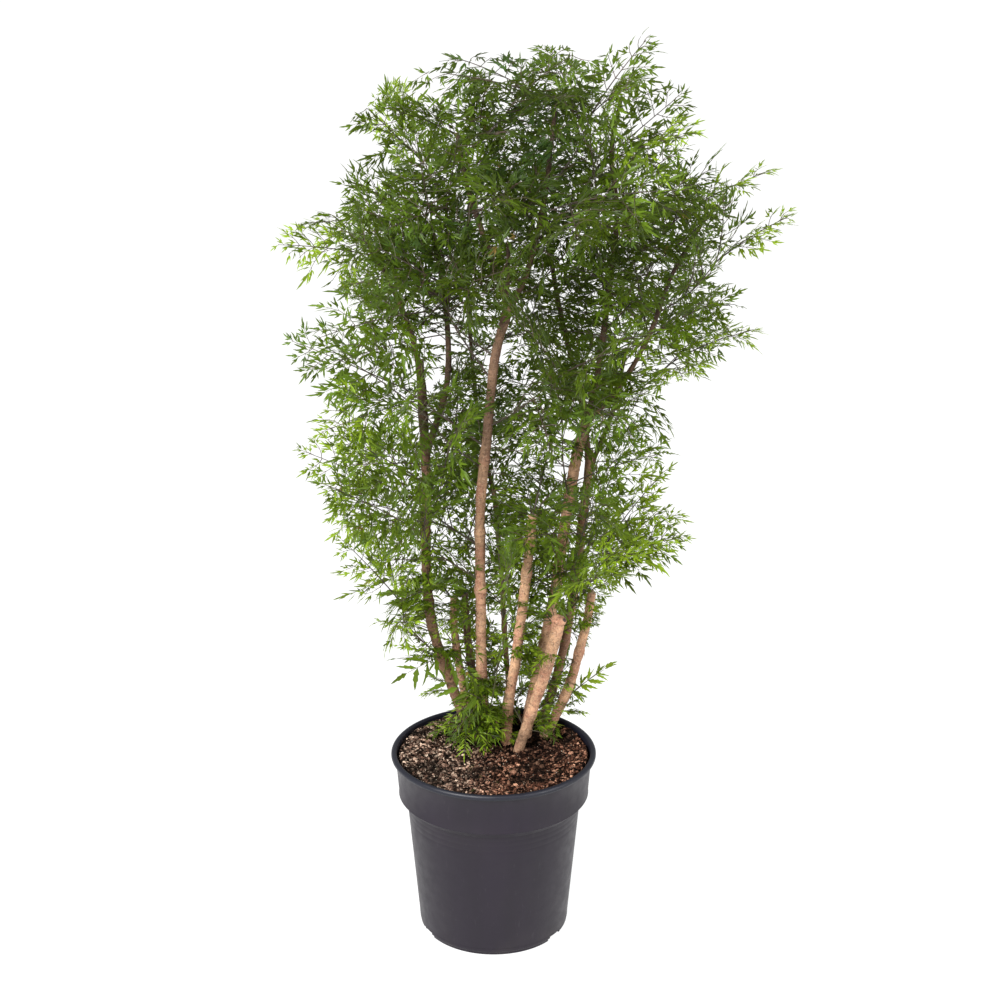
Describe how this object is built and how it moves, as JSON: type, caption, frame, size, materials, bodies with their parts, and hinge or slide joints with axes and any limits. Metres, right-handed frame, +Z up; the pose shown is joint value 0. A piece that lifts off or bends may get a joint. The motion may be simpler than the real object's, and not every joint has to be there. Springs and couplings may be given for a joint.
{
  "type": "potted ming aralia",
  "caption": "Tall branched ming aralia with fine, deeply divided leaves on woody canes, planted in soil in a tapered round nursery pot.",
  "frame": {"origin": "middle of the pot's flat underside, on the surface that the pot stands on", "axes": "+Z up along the pot's axis; -Y towards the front view of the picture, +X to its right"},
  "size_m": [0.7646, 0.5973, 1.3978],
  "materials": {
    "pot_plastic": "satin anthracite moulded plastic",
    "potting_soil": "loose bark and coir crumbs, rough",
    "aralia_bark": "pale ringed bark, dull",
    "aralia_leaf": "green leaf with a soft sheen"
  },
  "bodies": {
    "root": {"cane_back_thin": "aralia_bark", "cane_far_left": "aralia_bark", "cane_front_knob": "aralia_bark", "cane_front_light": "aralia_bark", "cane_left_dark": "aralia_bark", "cane_left_light": "aralia_bark", "cane_middle": "aralia_bark", "cane_right_back": "aralia_bark", "cane_right_short": "aralia_bark", "cane_right_tall": "aralia_bark", "pot": "pot_plastic", "soil": "potting_soil", "spray_01": "aralia_leaf", "spray_02": "aralia_leaf", "spray_03": "aralia_leaf", "spray_04": "aralia_leaf", "spray_05": "aralia_leaf", "spray_06": "aralia_leaf", "spray_07": "aralia_leaf", "spray_08": "aralia_leaf", "spray_09": "aralia_leaf", "spray_10": "aralia_leaf", "spray_11": "aralia_leaf", "spray_12": "aralia_leaf", "spray_13": "aralia_leaf", "spray_14": "aralia_leaf", "spray_15": "aralia_leaf", "spray_16": "aralia_leaf", "spray_17": "aralia_leaf", "spray_18": "aralia_leaf", "spray_19": "aralia_leaf", "spray_20": "aralia_leaf", "spray_21": "aralia_leaf", "spray_22": "aralia_leaf", "spray_23": "aralia_leaf", "spray_24": "aralia_leaf", "spray_25": "aralia_leaf", "spray_26": "aralia_leaf", "spray_27": "aralia_leaf", "spray_28": "aralia_leaf", "spray_29": "aralia_leaf", "spray_30": "aralia_leaf", "spray_31": "aralia_leaf", "spray_32": "aralia_leaf", "spray_33": "aralia_leaf", "spray_34": "aralia_leaf", "spray_35": "aralia_leaf", "spray_36": "aralia_leaf", "spray_37": "aralia_leaf", "spray_38": "aralia_leaf", "spray_39": "aralia_leaf", "spray_40": "aralia_leaf", "spray_41": "aralia_leaf", "spray_42": "aralia_leaf", "spray_43": "aralia_leaf", "spray_44": "aralia_leaf", "spray_45": "aralia_leaf", "spray_46": "aralia_leaf", "spray_47": "aralia_leaf", "spray_48": "aralia_leaf"}
  },
  "joints": []
}
